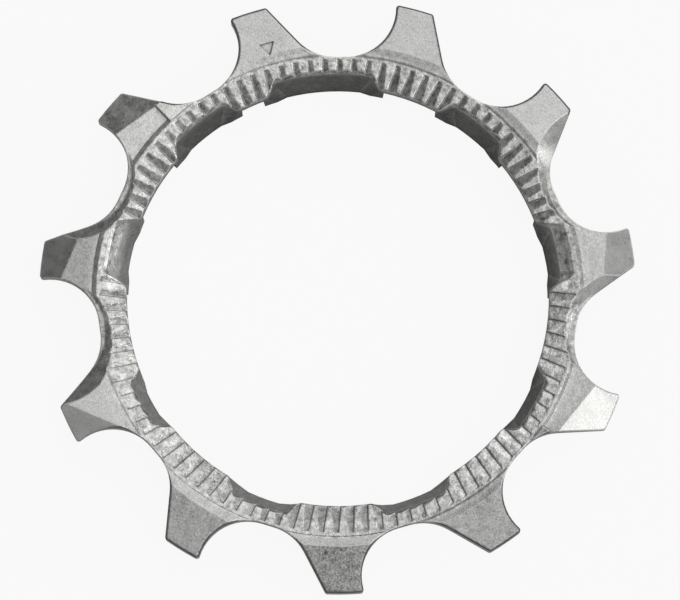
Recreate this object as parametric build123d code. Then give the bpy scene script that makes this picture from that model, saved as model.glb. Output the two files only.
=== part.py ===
from build123d import *
from math import cos, degrees, radians, sin, sqrt, tan
import os

# Chain that the cog drives: its pitch and its rollers set the tooth form.
CHAIN_PITCH = 12.7
ROLLER_DIA = 7.75
TEETH = 11

# Teeth. Angles run counter-clockwise from +X, seen from the serrated front.
FIRST_TIP = 9.55
TIP_LEAN = 1.85
TIP_RISE = 0.66
TIP_CORNER = 0.25
SEAT_SPREAD = 0.95
EDGE_BREAK = 0.14

# How far round its roller seat each flank starts, measured from the root.
LEADING_FLANK = 47
TRAILING_FLANK = 91.5

# Bore: nine lands, one of them narrow, between nine slots given by their start and end angles.
RIM_THICKNESS = 2.25
SLOT_DEPTH = 0.98
SLOTS = [(3, 19), (42, 60), (80, 108), (119.5, 138), (160, 176), (202, 217), (241, 258), (281, 300), (322, 339)]
SLOT_FLARE = 1.5
SLOT_CORNER = 0.6
BORE_BEVEL_DEPTH = 0.62

# Two slots, beside the shift gates, open in a wide smooth scoop with no serrations.
SCOOPED_SLOTS = [0, 4]
SCOOP_WIDTH = 1.4
SCOOP_WAIST = 0.7
SCOOP_WAIST_DEPTH = 0.45
SCOOP_DEPTH = 1.2

# Below the front lip each slot runs in towards the back, and each land is hollowed from behind.
LIP_DEPTH = 1.7
SLOT_BACK_DEPTH = 0.16
SLOT_BACK_INSET = 2.6
SPLINE_DEPTH = 0.98
SPLINE_INSET = 2.4
SPLINE_CORNER = 0.35

# Heights: the toothed plate stands on a collar, which is also the spacer to the next cog.
PLATE_THICKNESS = 1.8
COLLAR_HEIGHT = 2.5
COLLAR_WALL = 1.0
COLLAR_BREAK = 0.2

# Front face round the bore: a shallow dish, then a step down to the serrated ring.
RING_WIDTH = 2.43
RING_STEP = 0.1
RING_SLOPE = 6.5
DISH_WIDTH = 0.75
DISH_DROP = 0.14

# Lockring serrations: radial sawtooth grooves that widen and deepen towards the bore.
GROOVES = 100
GROOVE_PHASE = -0.4
GROOVE_INSET = 0.35
GROOVE_START_WIDTH = 0.36
GROOVE_BORE_WIDTH = 0.78
GROOVE_SLOPE = 15
GROOVE_WALL_SLOPE = 72
GROOVE_OVERCUT = 0.06

# Shifting forms. Two gates each lower the faces of a pair of teeth, from an angle before the first tip.
GATES = {4: -6.6, 10: -9.8}
GATE_DROP = 0.34
GATE_MARGIN = 0.25
GATE_WALL_SLOPE = 17

# Recesses round the roller seats before four teeth, deeper towards the tooth.
RECESSED_TEETH = [0, 1, 5, 6]
RECESS_WIDTH = 1.325
RECESS_SLOPE = 38
RECESS_DEPTH = 0.72
RECESS_TILT = 6

# Slanted facets on five tips: how far each reaches in from the tip, and its skew.
TIP_FACETS = {0: (2.15, -14), 4: (2.2, -15), 5: (2.05, -16), 6: (1.9, 41), 10: (2.45, -16)}
FACET_SLOPE = 12
FACET_WIDTH = 10

# Triangle that marks the tooth beside the narrow land.
MARK_ANGLE = 105.8
MARK_MARGIN = 1.3
MARK_SIDE = 1.15
MARK_DEPTH = 0.12

PITCH_RADIUS = CHAIN_PITCH / (2 * sin(radians(180 / TEETH)))
SEAT_RADIUS = ROLLER_DIA / 2
ROOT_RADIUS = PITCH_RADIUS - SEAT_RADIUS
TIP_RADIUS = PITCH_RADIUS + TIP_RISE
BORE_RADIUS = ROOT_RADIUS - RIM_THICKNESS
SLOT_RADIUS = BORE_RADIUS + SLOT_DEPTH
COLLAR_RADIUS = SLOT_RADIUS + COLLAR_WALL
RING_RADIUS = BORE_RADIUS + RING_WIDTH
TOOTH_STEP = 360 / TEETH
LOWERED_TEETH = [(first + step) % TEETH for first in GATES for step in (0, 1)]
HEIGHT = PLATE_THICKNESS + COLLAR_HEIGHT
LIP_BACK = HEIGHT - LIP_DEPTH
CLEAR = 1.0


def polar(radius, angle):
    """Point in the plane of the plate at a radius and an angle in degrees."""
    return Vector(radius * cos(radians(angle)), radius * sin(radians(angle)))


def tip_angle(tooth):
    """Angle of the middle of a tooth's tip."""
    return FIRST_TIP + tooth * TOOTH_STEP


def valley_angle(tooth):
    """Angle of the roller seat before a tooth, whose tip leads the middle of the tooth."""
    return tip_angle(tooth) - TIP_LEAN - TOOTH_STEP / 2


def arc_about(centre, start, end):
    """Short arc from start to end about a centre."""
    middle = (start - centre) + (end - centre)
    return ThreePointArc(start, centre + middle.normalized() * (start - centre).length, end)


def flank(seat, turn):
    """Straight flank that leaves a roller seat: its foot on the seat and its corner on the tip circle."""
    spoke = polar(SEAT_RADIUS, seat + 180).rotate(Axis.Z, turn)
    foot = polar(PITCH_RADIUS, seat) + spoke
    run = spoke.rotate(Axis.Z, 90 if turn > 0 else -90).normalized()
    along = foot.dot(run)
    reach = sqrt(along**2 + TIP_RADIUS**2 - foot.length**2) - along
    return foot, foot + run * reach


def tooth_edges(tooth):
    """Outline of one tooth, from the roller seat before it to the root after it."""
    half_seat = degrees(SEAT_SPREAD / 2 / PITCH_RADIUS)
    seat_before = valley_angle(tooth) + half_seat
    seat_after = valley_angle(tooth + 1) - half_seat
    next_seat = valley_angle(tooth + 1) + half_seat
    lead_foot, tip_start = flank(seat_before, -LEADING_FLANK)
    trail_foot, tip_end = flank(seat_after, TRAILING_FLANK)
    root = polar(ROOT_RADIUS, seat_after)
    return [
        arc_about(polar(PITCH_RADIUS, seat_before), polar(ROOT_RADIUS, seat_before), lead_foot),
        Line(lead_foot, tip_start),
        ThreePointArc(tip_start, (tip_start + tip_end).normalized() * TIP_RADIUS, tip_end),
        Line(tip_end, trail_foot),
        arc_about(polar(PITCH_RADIUS, seat_after), trail_foot, root),
        ThreePointArc(root, polar(ROOT_RADIUS, valley_angle(tooth + 1)), polar(ROOT_RADIUS, next_seat)),
    ]


def toothed_plate():
    """Plate with its eleven leaning teeth, its tip corners rounded and its edges broken."""
    outline = Wire([edge for tooth in range(TEETH) for edge in tooth_edges(tooth)])
    plate = extrude(Pos(Z=COLLAR_HEIGHT) * Face(outline), PLATE_THICKNESS)
    uprights = plate.edges().filter_by(Axis.Z)
    reach = lambda edge: Vector(edge.center().X, edge.center().Y).length
    corners = uprights.filter_by(lambda edge: reach(edge) > TIP_RADIUS - EDGE_BREAK)
    plate = fillet(corners, TIP_CORNER)
    rims = plate.edges().filter_by(lambda e: e.bounding_box().size.Z < EDGE_BREAK)
    return chamfer(rims, EDGE_BREAK)


def collar():
    """Plain round collar behind the plate."""
    body = Pos(Z=HEIGHT / 2) * Cylinder(COLLAR_RADIUS, HEIGHT)
    return chamfer(body.edges().group_by(Axis.Z)[0], COLLAR_BREAK)


def ring_height(radius):
    """Height of the serrated ring's surface at a radius."""
    fall = (RING_RADIUS - radius) * sin(radians(RING_SLOPE))
    return HEIGHT - DISH_DROP - RING_STEP - fall


def dish():
    """What is turned away in front: the dish and, below a small step, the ring."""
    dish_edge = RING_RADIUS + DISH_WIDTH
    inner = BORE_RADIUS - CLEAR
    profile = Plane.XZ * make_face(
        Polyline(
            (dish_edge, HEIGHT),
            (RING_RADIUS, HEIGHT - DISH_DROP),
            (RING_RADIUS - RING_STEP, ring_height(RING_RADIUS)),
            (inner, ring_height(inner)),
            (inner, HEIGHT + CLEAR),
            (dish_edge + CLEAR, HEIGHT + CLEAR),
            close=True,
        )
    )
    return revolve(profile, Axis.Z)


def slot_face(radius, start, end, corner=SLOT_CORNER):
    """Outline of one slot: a round back and flared sides, closed inside the bore."""
    first = polar(radius, start + SLOT_FLARE)
    last = polar(radius, end - SLOT_FLARE)
    inner = BORE_RADIUS / 2
    middle = (start + end) / 2
    outline = ThreePointArc(first, polar(radius, middle), last) + Polyline(
        last,
        polar(BORE_RADIUS, end + SLOT_FLARE),
        polar(inner, end),
        polar(inner, start),
        polar(BORE_RADIUS, start - SLOT_FLARE),
        first,
    )
    face = make_face(outline)
    corners = [v for v in face.vertices() if Vector(v).length > radius - SLOT_CORNER / 10]
    return fillet(corners, corner) if corner else face


def bore_face():
    """Bore seen from the front, with every land's corners rounded."""
    first_slot = sum(SLOTS[0]) / 2
    face = Rot(Z=first_slot) * Circle(BORE_RADIUS)
    for start, end in SLOTS:
        face += slot_face(SLOT_RADIUS, start, end)
    corners = [v for v in face.vertices() if abs(Vector(v).length - BORE_RADIUS) < SLOT_CORNER / 10]
    return fillet(corners, SLOT_CORNER)


def bore_cut():
    """Through bore, the straight slots of the front lip and their bevelled front edge."""
    face = bore_face()
    bevel_start = HEIGHT - BORE_BEVEL_DEPTH
    through = Pos(Z=HEIGHT / 2) * Cylinder(BORE_RADIUS, HEIGHT + 2 * CLEAR)
    lip = extrude(Pos(Z=LIP_BACK) * face, LIP_DEPTH)
    bevel = extrude(Pos(Z=bevel_start) * face, BORE_BEVEL_DEPTH, taper=-45)
    return through + lip + bevel


def slot_back():
    """Slots behind the lip: each runs in towards the back of the collar."""
    cuts = []
    for start, end in SLOTS:
        front = slot_face(SLOT_RADIUS, start, end, corner=0)
        back = slot_face(BORE_RADIUS + SLOT_BACK_DEPTH, start + SLOT_BACK_INSET, end - SLOT_BACK_INSET, corner=0)
        cuts.append(loft([Pos(Z=LIP_BACK) * front, back], ruled=True))
    return cuts


def splines():
    """Hollows behind the lands, open to the back, which slide over the hub's splines."""
    radius = BORE_RADIUS + SPLINE_DEPTH
    inner = BORE_RADIUS - CLEAR
    cuts = []
    for slot, (_, slot_end) in enumerate(SLOTS):
        start = slot_end + SPLINE_INSET
        end = SLOTS[(slot + 1) % len(SLOTS)][0] - SPLINE_INSET
        end += 360 * (end < start)
        first = polar(radius, start)
        last = polar(radius, end)
        outline = ThreePointArc(first, polar(radius, (start + end) / 2), last)
        outline += Polyline(last, polar(inner, end), polar(inner, start), first)
        face = make_face(outline)
        corners = [v for v in face.vertices() if Vector(v).length > radius - SPLINE_CORNER / 10]
        cuts.append(extrude(fillet(corners, SPLINE_CORNER), LIP_BACK))
    return cuts


def groove_section(radius, width):
    """Triangular cross-section of a groove on +X, a slanted face and a steep wall, up past the ring."""
    shallow = 1 / tan(radians(GROOVE_SLOPE))
    steep = 1 / tan(radians(GROOVE_WALL_SLOPE))
    depth = width / (shallow + steep)
    bottom = ring_height(radius) - depth
    trough = width / 2 - depth * steep
    height = depth + GROOVE_OVERCUT
    top = bottom + height
    return make_face(
        Polyline(
            (radius, trough, bottom),
            (radius, trough + height * steep, top),
            (radius, trough - height * shallow, top),
            close=True,
        )
    )


def groove():
    """One serration on +X, from its narrow outer end to inside the bore."""
    outer = RING_RADIUS - GROOVE_INSET
    inner = BORE_RADIUS - CLEAR
    widening = (GROOVE_BORE_WIDTH - GROOVE_START_WIDTH) / (outer - BORE_RADIUS)
    start = groove_section(outer, GROOVE_START_WIDTH)
    end = groove_section(inner, GROOVE_BORE_WIDTH + widening * CLEAR)
    return loft([start, end], ruled=True)


def serrations():
    """Ring of radial grooves that the lockring's own serrations bite into, left out beside the scoops."""
    cutter = groove()
    angles = [GROOVE_PHASE + index * 360 / GROOVES for index in range(GROOVES)]
    smooth = [SLOTS[slot] for slot in SCOOPED_SLOTS]
    cut = [angle for angle in angles if not any(start < angle < end for start, end in smooth)]
    return [Rot(Z=angle) * cutter for angle in cut]


def scoop(slot):
    """Wide smooth mouth of one slot, shallow at first and then steeper."""
    start, end = SLOTS[slot]
    rise = (SCOOP_WIDTH - SCOOP_WAIST) / SCOOP_WAIST_DEPTH * CLEAR
    mouth = Pos(Z=HEIGHT + CLEAR) * slot_face(SLOT_RADIUS + SCOOP_WIDTH + rise, start, end)
    waist = Pos(Z=HEIGHT - SCOOP_WAIST_DEPTH) * slot_face(SLOT_RADIUS + SCOOP_WAIST, start, end)
    throat = Pos(Z=HEIGHT - SCOOP_DEPTH) * slot_face(SLOT_RADIUS, start, end)
    return loft([throat, waist, mouth], ruled=True)


def block(width):
    """Block of material to take away: its underside is the XY plane, and it starts at the YZ plane."""
    length = TIP_RADIUS
    return Pos(X=length / 2, Z=length / 2) * Box(length, width, length)


def tip_facet(tooth):
    """Slanted facet that thins the tip of a tooth."""
    reach, skew = TIP_FACETS[tooth]
    face = HEIGHT - GATE_DROP * (tooth in LOWERED_TEETH)
    wedge = Pos(X=TIP_RADIUS - reach, Z=face) * Rot(Z=skew) * Rot(Y=FACET_SLOPE) * block(FACET_WIDTH)
    return Rot(Z=tip_angle(tooth)) * wedge


def gate(tooth, start):
    """Lowered faces of a tooth and the next one, with a sloping wall up to the serrated ring."""
    floor = HEIGHT - GATE_DROP
    top = HEIGHT + CLEAR
    inner = RING_RADIUS + GATE_MARGIN
    rise = (top - floor) / tan(radians(GATE_WALL_SLOPE))
    far = TIP_RADIUS + CLEAR
    profile = Plane.XZ * make_face(
        Polyline((inner, floor), (far, floor), (far, top), (inner - rise, top), close=True)
    )
    first = tip_angle(tooth) + start
    sweep = revolve(profile, Axis.Z, valley_angle(tooth + 2) - first)
    return Rot(Z=first) * sweep


def recess(tooth):
    """Cone round the roller seat before a tooth, down to a floor that tilts towards the tooth."""
    half_seat = degrees(SEAT_SPREAD / 2 / PITCH_RADIUS)
    depth = HEIGHT / 2
    run = depth / tan(radians(RECESS_SLOPE))
    edge = SEAT_RADIUS + RECESS_WIDTH
    cone = Cone(edge - run, edge + run, 2 * depth)
    cone = Pos(X=PITCH_RADIUS, Z=HEIGHT) * cone
    floor = Pos(Z=HEIGHT - RECESS_DEPTH) * Rot(X=-RECESS_TILT) * block(2 * TIP_RADIUS)
    return Rot(Z=valley_angle(tooth) + half_seat) * (cone & floor)


def mark():
    """Triangle pressed into the front face, pointing at the bore."""
    triangle = Rot(Z=180) * RegularPolygon(MARK_SIDE / sqrt(3), 3)
    sunk = extrude(triangle, MARK_DEPTH + CLEAR)
    return Rot(Z=MARK_ANGLE) * Pos(X=RING_RADIUS + MARK_MARGIN, Z=HEIGHT - MARK_DEPTH) * sunk


def cog():
    """Whole cog, in one piece."""
    body = toothed_plate() + collar() - dish() - bore_cut()
    body -= [gate(tooth, start) for tooth, start in GATES.items()]
    body -= [tip_facet(tooth) for tooth in TIP_FACETS]
    body -= [recess(tooth) for tooth in RECESSED_TEETH]
    body -= mark()
    body -= [scoop(slot) for slot in SCOOPED_SLOTS]
    body -= slot_back()
    body -= splines()
    return body - serrations()


os.makedirs("parts", exist_ok=True)
export_step(cog(), "parts/cog.step")
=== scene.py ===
# %% [markdown]
# A cassette cog, photographed from above
#
# The object is the smallest cog of a bicycle cassette: one pressed and coined piece of nickel-plated
# steel, 46 mm across and taken to be 4.3 mm high, lying on its collar. Its shape comes from the CAD
# model, which is in the scene as soon as it is loaded. This notebook gives it its finish, its light and
# the camera that looks down on it. The model's box is measured as soon as it is loaded.

# %% Load the imported model
from math import cos, pi, radians, sin

import bmesh
import bpy
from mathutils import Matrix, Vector


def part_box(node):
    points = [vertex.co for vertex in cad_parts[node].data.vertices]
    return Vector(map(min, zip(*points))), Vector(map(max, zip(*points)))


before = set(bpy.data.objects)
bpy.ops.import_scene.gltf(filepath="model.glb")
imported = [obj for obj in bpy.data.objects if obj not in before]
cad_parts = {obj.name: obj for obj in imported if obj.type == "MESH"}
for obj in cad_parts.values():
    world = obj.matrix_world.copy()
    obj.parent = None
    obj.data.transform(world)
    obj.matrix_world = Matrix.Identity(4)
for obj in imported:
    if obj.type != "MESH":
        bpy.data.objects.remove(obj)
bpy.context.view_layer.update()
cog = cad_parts["cog"]
low, high = (Vector(corner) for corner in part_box("cog"))
MM = 0.001
print("cog measures", [round(side / MM, 2) for side in high - low], "mm")

# %% [markdown]
# The camera
#
# The photograph looks almost straight down. In it a point on the back edge sits about 6.5 pixels lower
# than the same point on the front edge, and for a cog 4.3 mm high that is a tilt of 6.7 degrees. A long
# lens far away keeps the teeth from spreading. The camera could be moved by hand until it fits, but
# working its place out from the picture's scale puts the cog's outline where the photograph has it.

# %% Camera at the photograph's angle
IMAGE_WIDTH = 680
IMAGE_HEIGHT = 600
MM_PER_PIXEL = 0.0775
CAMERA_DISTANCE = 0.4
CAMERA_TILT = radians(6.7)
COG_CENTRE_PIXEL = (337.9, 294.1)
SENSOR_WIDTH = 36

view_width = IMAGE_WIDTH * MM_PER_PIXEL * MM
aim = Vector((
    (IMAGE_WIDTH / 2 - COG_CENTRE_PIXEL[0]) * MM_PER_PIXEL * MM,
    (COG_CENTRE_PIXEL[1] - IMAGE_HEIGHT / 2) * MM_PER_PIXEL * MM,
    high.z,
))
camera_data = bpy.data.cameras.new("overhead_camera")
camera_data.sensor_width = SENSOR_WIDTH
camera_data.lens = SENSOR_WIDTH * CAMERA_DISTANCE / view_width
camera_data.clip_start = CAMERA_DISTANCE / 100
camera = bpy.data.objects.new("overhead_camera", camera_data)
camera.location = aim + CAMERA_DISTANCE * Vector((0, -sin(CAMERA_TILT), cos(CAMERA_TILT)))
camera.rotation_euler = (CAMERA_TILT, 0, 0)
bpy.context.collection.objects.link(camera)
bpy.context.scene.camera = camera
print("lens", round(camera_data.lens, 1), "mm")

# %% [markdown]
# Writing shaders as sums
#
# A finish is a network of small nodes. Wired by hand, a line of arithmetic becomes a dozen calls, so
# a Signal wraps a node's output and turns each Python operator into one Math node. A Network holds
# the nodes of one material, or of the world, and its add method makes any other kind of node.

# %% Shader helpers
class Signal:
    """A number that varies over the surface. Arithmetic on it adds Math nodes."""

    def __init__(self, network, socket):
        self.network = network
        self.socket = socket

    def math(self, operation, first, second=0.0):
        return self.network.add("ShaderNodeMath", {0: first, 1: second}, operation=operation)

    def __add__(self, other):
        return self.math("ADD", self, other)

    def __sub__(self, other):
        return self.math("SUBTRACT", self, other)

    def __rsub__(self, other):
        return self.math("SUBTRACT", other, self)

    def __mul__(self, other):
        return self.math("MULTIPLY", self, other)

    def __truediv__(self, other):
        return self.math("DIVIDE", self, other)

    def __pow__(self, other):
        return self.math("POWER", self, other)

    def larger(self, other):
        return self.math("MAXIMUM", self, other)

    def step(self, start, end):
        """0 before start and 1 after end, with a smooth change between. Start may be the larger."""
        span = {"Value": self, "From Min": start, "From Max": end}
        return self.network.add("ShaderNodeMapRange", span, "Result", interpolation_type="SMOOTHSTEP")

    def within(self, lowest, highest):
        """The same number, kept between two limits."""
        limits = {"Value": self, "Min": lowest, "Max": highest}
        return self.network.add("ShaderNodeClamp", limits, "Result")

    def beside(self, output):
        """Another output of the same node."""
        return Signal(self.network, self.socket.node.outputs[output])

    __radd__ = __add__
    __rmul__ = __mul__


class Network:
    """The nodes of one material or of the world, added one by one."""

    def __init__(self, owner):
        owner.use_nodes = True
        self.owner = owner
        self.tree = owner.node_tree
        self.tree.nodes.clear()

    def add(self, kind, inputs, output=0, **settings):
        """Add one node, set it up, feed its sockets and return one of its outputs."""
        node = self.tree.nodes.new(kind)
        for name, value in settings.items():
            setattr(node, name, value)
        for name, value in inputs.items():
            if isinstance(value, Signal):
                self.tree.links.new(value.socket, node.inputs[name])
            else:
                node.inputs[name].default_value = value
        return Signal(self, node.outputs[output]) if node.outputs else node

    def noise(self, place, size, detail=3.0, roughness=0.5):
        """Cloudy pattern whose patches are about size millimetres across, from 0 to 1."""
        inputs = {"Vector": place, "Scale": 1 / size, "Detail": detail, "Roughness": roughness}
        return self.add("ShaderNodeTexNoise", inputs, "Fac")


def grey(level):
    return (level, level, level, 1)


def swing(pattern, amount):
    """The ups and downs of a pattern about its middle."""
    return amount * (pattern - 0.5)


# %% [markdown]
# Nickel-plated steel: knowing where a point is
#
# Up close the plating is satin, not mirror-like, and it isn't even. Some teeth are clean and pale,
# others are speckled with dark grains, and the bore is duller than the faces. Each place could get a
# material of its own, but the cog is one mesh, and the finish changes softly from place to place. So
# one finish covers all of it, and first works out where each point is: its distance from the axis, its
# height, how far its face tilts, and which tooth it is near. None of that depends on the camera, so
# the finish stays put when the camera moves.

# %% Places on the cog
plating = Network(bpy.data.materials.new("nickel_plated_steel"))
object_place = plating.add("ShaderNodeTexCoord", {}, "Object")
place = plating.add("ShaderNodeMapping", {"Vector": object_place, "Scale": (1 / MM,) * 3})
x = plating.add("ShaderNodeSeparateXYZ", {"Vector": place})
y = x.beside("Y")
z = x.beside("Z")
radius = (x * x + y * y) ** 0.5
normal = plating.add("ShaderNodeNewGeometry", {}, "True Normal")
upward = plating.add("ShaderNodeSeparateXYZ", {"Vector": normal}, "Z")


def near(angle, core, limit):
    """1 within core degrees of an angle about the axis, and 0 beyond limit degrees."""
    aligned = (x * cos(radians(angle)) + y * sin(radians(angle))) / radius
    return aligned.step(cos(radians(limit)), cos(radians(core)))


print("places take", len(plating.tree.nodes), "nodes")

# %% [markdown]
# Nickel-plated steel: teeth
#
# In the photograph the flats of the lower teeth are the grainiest. The slanted tips are calmer, all but
# one at the upper left, which is speckled. Each place gets a mask, a number from 0 to 1, made from pairs
# that say where it starts and where it is full. Radii are in millimetres. A tilt is given as the upward
# part of a face's normal, which is 1 on a level face and 0 on an upright one.

# %% Grainy flats, slanted tips and edges of the teeth
# How grainy each tooth is, by its angle in degrees. A tooth below 0 is paler than the rest.
GRAINY_TEETH = {
    9.5: 0.15, 75: 0.1, 140.4: -0.25, 173.2: 0.5, 238.6: 0.65, 271.4: 0.9, 304.1: 0.6, 336.8: 0.4,
}
SPECKLED_TOOTH = 140.4
TOOTH_SPAN = (11, 17)
TOOTH_RADII = (18.8, 19.8)
LEVEL_TILT = (0.982, 0.993)
TIP_RADII = (19.6, 20.2)
LEAST_TIP_TILT = (0.988, 0.975)
MOST_TIP_TILT = (0.8, 0.85)
CHAMFER_RADII = (19.0, 19.3)
LEAST_CHAMFER_TILT = (0.77, 0.73)
MOST_CHAMFER_TILT = (0.62, 0.68)

grainy = 0.0
for angle, amount in GRAINY_TEETH.items():
    grainy = near(angle, *TOOTH_SPAN) * amount + grainy
grainy = grainy * radius.step(*TOOTH_RADII) * upward.step(*LEVEL_TILT)

slanted_tip = radius.step(*TIP_RADII) * upward.step(*LEAST_TIP_TILT) * upward.step(*MOST_TIP_TILT)
speckled_tip = slanted_tip * near(SPECKLED_TOOTH, *TOOTH_SPAN)
calm_tip = slanted_tip - speckled_tip
chamfer = radius.step(*CHAMFER_RADII) * upward.step(*LEAST_CHAMFER_TILT) * upward.step(*MOST_CHAMFER_TILT)
print("grainy teeth:", sum(amount > 0 for amount in GRAINY_TEETH.values()))

# %% [markdown]
# Nickel-plated steel: ring and bore
#
# The serrated ring is smeared where it was pressed. The slot walls are darkened with painted shade,
# more so the deeper they go and least at the lower left, where the light falls on them. The two
# scoops are brightened at their mouths with a painted highlight. Each pair again says where a mask
# starts and where it is full.

# %% Serrated ring, slot walls and scoops
# How strong each scoop's painted highlight is, by its angle in degrees.
SCOOP_HIGHLIGHTS = {10.5: 0.6, 169.5: 0.9}
RING_RADII = (19.2, 18.6)
WALL_TILT = (0.6, 0.2)
# Painted shade on the slot walls: the heights over which it deepens, and the lower-left side where it is
# lightest.
WALL_SHADE_HEIGHTS = (3.9, 2.0)
LIT_WALL_SIDE = (0.2, -0.9)
LIT_SIDE_SHADE_CUT = 0.8
SCOOP_SPAN = (7.5, 10)
INNER_HIGHLIGHT_RADII = (16.9, 17.5)
OUTER_HIGHLIGHT_RADII = (18.1, 17.7)

ring = radius.step(*RING_RADII)
# Where the scoops get a painted highlight at their mouths.
painted_highlight = 0.0
for angle, amount in SCOOP_HIGHLIGHTS.items():
    painted_highlight = near(angle, *SCOOP_SPAN) * amount + painted_highlight
painted_highlight = painted_highlight * radius.step(*INNER_HIGHLIGHT_RADII) * radius.step(*OUTER_HIGHLIGHT_RADII)
wall = upward.step(*WALL_TILT) * ring
# Painted shade on the slot walls, darker deeper down and lightest at the lower left, where the light
# falls.
lit_wall_side = ((x + y) / radius).step(*LIT_WALL_SIDE)
deep_wall_shade = z.step(*WALL_SHADE_HEIGHTS) * wall * (1 - LIT_SIDE_SHADE_CUT * lit_wall_side)
print("rubbed scoops:", len(SCOOP_HIGHLIGHTS))

# %% [markdown]
# Nickel-plated steel: grain, wear and painted shade
#
# The flats have a fine grain, the ring has smears, the edges are worn round and bright, and the
# corners are darkened with painted shade. The patterns are noise of different sizes, in millimetres.
# A Bevel node rounds the edges in the shading and tells where they are, and ambient occlusion tells where
# the corners are.
# Real bevels on every small edge would do the same with far more geometry.

# %% Patterns of grain, wear and painted shade
CLOUD_SIZE = 2.4
PATCH_SIZE = 0.7
SMEAR_SIZE = 0.45
SPECK_SIZE = 0.15
GRAIN_SIZE = 0.1
STREAK_ANGLE = 0.5
STREAK_SQUEEZE = (1, 0.6, 1)
EDGE_ROUNDING = 0.16
EDGE_TURN = (0.997, 0.93)
CREVICE_REACH = 0.6
CREVICE_OPENNESS = (1.0, 0.3)
LOOKS_AROUND = 8

streaked = plating.add(
    "ShaderNodeMapping", {"Vector": place, "Rotation": (0, 0, STREAK_ANGLE), "Scale": STREAK_SQUEEZE}
)
clouds = plating.noise(place, CLOUD_SIZE)
patches = plating.noise(place, PATCH_SIZE, detail=4, roughness=0.6)
grain = plating.noise(streaked, GRAIN_SIZE, roughness=0.7)
specks = plating.noise(place, SPECK_SIZE, roughness=0.7)
smears = plating.noise(place, SMEAR_SIZE, roughness=0.6)

rounded = plating.add("ShaderNodeBevel", {"Radius": EDGE_ROUNDING * MM}, samples=LOOKS_AROUND)
turned = plating.add("ShaderNodeVectorMath", {0: rounded, 1: normal}, "Value", operation="DOT_PRODUCT")
edge = turned.step(*EDGE_TURN)
# Ambient occlusion finds the corners, which get painted shade.
openness = plating.add(
    "ShaderNodeAmbientOcclusion", {"Distance": CREVICE_REACH * MM}, "AO", samples=LOOKS_AROUND
)
crevice = openness.step(*CREVICE_OPENNESS)
print("finest grain", GRAIN_SIZE, "mm, edges rounded by", EDGE_ROUNDING, "mm")

# %% [markdown]
# Nickel-plated steel: colour
#
# Plated steel has no paint colour. Its base colour says how much light it mirrors, and a little blue is
# left out because nickel is faintly warm. The tone starts from a middle grey. The patterns swing it
# about, each by its own amount. Painted shade on the slot walls, in the corners and on the chamfers
# round the teeth takes away a share of what is left, the shaded chamfers draw each tooth's dark
# outline, and the scoops get a painted highlight.

# %% Tone of the cog
BASE_TONE = 0.54
DARKEST = 0.02
PALEST = 0.95
BLUE_LOSS = 0.025
CLOUD_SWING = 0.25
PATCH_SWING = 0.45
GRAIN_SWING = 0.85
CALM_TIP_LOSS = 0.5
SMEAR_SWING = 1.2
SMEAR_WALL_LOSS = 0.7
EDGE_WEAR = 0.29
EDGE_SPECK_SWING = 0.9
GRAINY_LOSS = 0.5
GRAINY_SPECK_SWING = 1.0
GRAINY_SMEAR_SWING = 0.5
TIP_SPECK_SWING = 0.5
# Painted shade: how far the slot walls, the deeper walls, the corners and the tooth chamfers are
# darkened.
WALL_SHADE = 0.1
DEEP_WALL_SHADE = 0.6
CORNER_SHADE = 0.85
CHAMFER_SHADE = 0.55

grey_patches = swing(patches, PATCH_SWING) + swing(grain, GRAIN_SWING)
tone = BASE_TONE + swing(clouds, CLOUD_SWING) + grey_patches * (1 - CALM_TIP_LOSS * calm_tip)
tone = tone + ring * (1 - SMEAR_WALL_LOSS * wall) * swing(smears, SMEAR_SWING)
tone = tone + edge * (EDGE_WEAR + swing(specks, EDGE_SPECK_SWING))
grains = swing(specks, GRAINY_SPECK_SWING) + swing(smears, GRAINY_SMEAR_SWING)
tone = tone * (1 - GRAINY_LOSS * grainy) + grainy * grains
tone = tone + speckled_tip * swing(specks, TIP_SPECK_SWING)
# Painted highlight at the scoops' mouths, and painted shade on the slot walls, darker deeper down.
tone = tone * (1 + painted_highlight) * (1 - WALL_SHADE * wall - DEEP_WALL_SHADE * deep_wall_shade)
# Painted shade in the corners, and on the chamfers, where it draws each tooth's dark outline.
tone = tone * (1 - CORNER_SHADE * crevice) * (1 - CHAMFER_SHADE * chamfer)
tone = tone.within(DARKEST, PALEST)
colour = plating.add("ShaderNodeCombineColor", {0: tone, 1: tone, 2: tone * (1 - BLUE_LOSS)})
print("tone takes the finish to", len(plating.tree.nodes), "nodes")

# %% [markdown]
# Nickel-plated steel: gloss and relief
#
# Roughness says how wide the metal spreads the light that it mirrors. It changes with the patches, and
# the slot walls are duller than the rest. Relief is a bump of a few hundredths of a millimetre at most,
# enough to make the surface catch the light unevenly, and too little to need real geometry.

# %% Gloss and relief of the cog
BASE_ROUGHNESS = 0.29
PATCH_ROUGHNESS_SWING = 0.35
CALM_TIP_GLOSS = 0.7
GRAINY_ROUGHNESS = 0.08
EDGE_ROUGHNESS = 0.06
WALL_ROUGHNESS = 0.25
GRAIN_RELIEF = 0.003
PATCH_RELIEF = 0.014
SMEAR_RELIEF = 0.035

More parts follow.
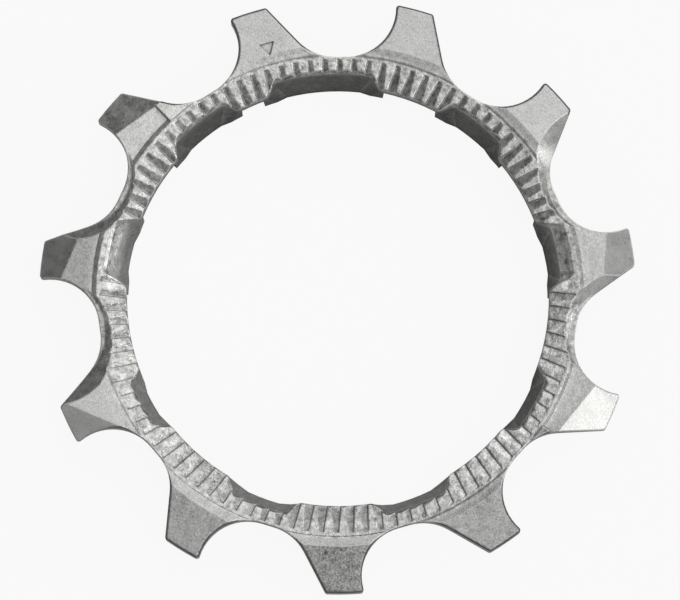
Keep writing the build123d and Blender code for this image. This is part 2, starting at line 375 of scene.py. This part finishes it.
evenness = 1 - CALM_TIP_GLOSS * calm_tip
roughness = BASE_ROUGHNESS + swing(patches, PATCH_ROUGHNESS_SWING) * evenness
roughness = roughness + GRAINY_ROUGHNESS * grainy + EDGE_ROUGHNESS * edge + WALL_ROUGHNESS * wall
relief = GRAIN_RELIEF * grain + PATCH_RELIEF * patches * evenness + SMEAR_RELIEF * ring * smears
bump = plating.add(
    "ShaderNodeBump", {"Height": relief, "Distance": MM, "Strength": 1.0, "Normal": rounded}, "Normal"
)
metal = plating.add(
    "ShaderNodeBsdfPrincipled",
    {"Base Color": colour, "Metallic": 1.0, "Roughness": roughness, "Normal": bump},
)
plating.add("ShaderNodeOutputMaterial", {"Surface": metal})
cog.material_slots[0].material = plating.owner
print("finish has", len(plating.tree.nodes), "nodes")

# %% [markdown]
# The table
#
# In the photograph the cog lies on plain white. A floor of a pale colour keeps the cog's soft shadow.
# To the camera, and a little to the metal's reflections, the floor is lifted towards white by a glow of
# its own, so the lamps needn't be turned up until they burn out the steel.

# %% Pale floor
FLOOR_SIZE = 1.2
FLOOR_TONE = 0.6
LIFT_FOR_CAMERA = 0.92
LIFT_FOR_MIRRORS = 0.05

floor_data = bpy.data.meshes.new("floor")
sheet = bmesh.new()
bmesh.ops.create_grid(sheet, x_segments=1, y_segments=1, size=FLOOR_SIZE / 2)
sheet.to_mesh(floor_data)
sheet.free()
floor = bpy.data.objects.new("floor", floor_data)
bpy.context.collection.objects.link(floor)

paper = Network(bpy.data.materials.new("white_paper"))
to_camera = paper.add("ShaderNodeLightPath", {}, "Is Camera Ray")
mirrored = to_camera.beside("Is Glossy Ray").larger(to_camera.beside("Is Transmission Ray"))
lift = to_camera * LIFT_FOR_CAMERA + mirrored * LIFT_FOR_MIRRORS
matt = paper.add("ShaderNodeBsdfDiffuse", {"Color": grey(FLOOR_TONE)})
glow = paper.add("ShaderNodeEmission", {"Color": grey(1.0), "Strength": 1.0})
mixed = paper.add("ShaderNodeMixShader", {0: lift, 1: matt, 2: glow})
paper.add("ShaderNodeOutputMaterial", {"Surface": mixed})
floor_data.materials.append(paper.owner)
print("floor is", FLOOR_SIZE, "m wide")

# %% [markdown]
# Light
#
# Satin steel shows the room more than itself, so each slanted face hints at where a lamp was. In the
# photograph the tip that leans to the lower right is white, and those that lean left are dark. So one
# softbox hangs overhead, one behind, a small strong one at the lower right, a faint one at the lower
# left and a low one on the right. The room is darker to the left and near the horizon, and a paler band
# halfway up keeps the cog from going black when it is seen from the side.

# %% Softboxes and room
LAMP_DISTANCE = 0.6

# Each lamp's direction from the cog, its side in metres, and how white it looks in a mirror.
SOFTBOXES = {
    "overhead_softbox": ((0.05, 0.14, 1), 0.3, 1.0),
    "back_softbox": ((0.16, 0.62, 0.77), 0.26, 1.25),
    "lower_right_softbox": ((0.36, -0.18, 1), 0.14, 3.6),
    "lower_left_softbox": ((-0.22, -0.2, 0.95), 0.16, 0.7),
    "right_softbox": ((1.0, -0.05, 0.42), 0.22, 2.0),
}
for name, (direction, side, whiteness) in SOFTBOXES.items():
    lamp_data = bpy.data.lights.new(name, "AREA")
    lamp_data.shape = "SQUARE"
    lamp_data.size = side
    lamp_data.energy = whiteness * pi * side * side
    lamp = bpy.data.objects.new(name, lamp_data)
    lamp.location = Vector(direction).normalized() * LAMP_DISTANCE
    lamp.rotation_euler = Vector(direction).to_track_quat("Z", "Y").to_euler()
    bpy.context.collection.objects.link(lamp)

DIM_SIDE = 0.1
BRIGHT_SIDE_GAIN = 0.35
LEFT_TO_RIGHT = (-0.5, 0.8)
HORIZON_LOSS = 0.6
HORIZON_HEIGHTS = (0.3, 0.0)
BAND_LIGHT = 0.28
BAND_FOOT = (0.1, 0.4)
BAND_TOP = (0.84, 0.62)

room = Network(bpy.data.worlds.new("studio"))
seen_direction = room.add("ShaderNodeTexCoord", {}, "Generated")
across = room.add("ShaderNodeSeparateXYZ", {"Vector": seen_direction})
up = across.beside("Z")
band = up.step(*BAND_FOOT) * up.step(*BAND_TOP)
side_light = DIM_SIDE + BRIGHT_SIDE_GAIN * across.step(*LEFT_TO_RIGHT)
shade = side_light * (1 - HORIZON_LOSS * up.step(*HORIZON_HEIGHTS)) + BAND_LIGHT * band
seen = room.add("ShaderNodeLightPath", {}, "Is Camera Ray")
strength = shade + seen * (1 - shade)
background = room.add("ShaderNodeBackground", {"Color": grey(1.0), "Strength": strength})
room.add("ShaderNodeOutputWorld", {"Surface": background})
bpy.context.scene.world = room.owner
print("lamps:", ", ".join(SOFTBOXES))

# %% [markdown]
# Colours
# The Standard view shows each tone as it is, without a film look, so the greys can be compared with
# the photograph's. The box measured here is written beside the CAD model's, and both must agree.

# %% Colour management
bpy.context.scene.view_settings.view_transform = "Standard"
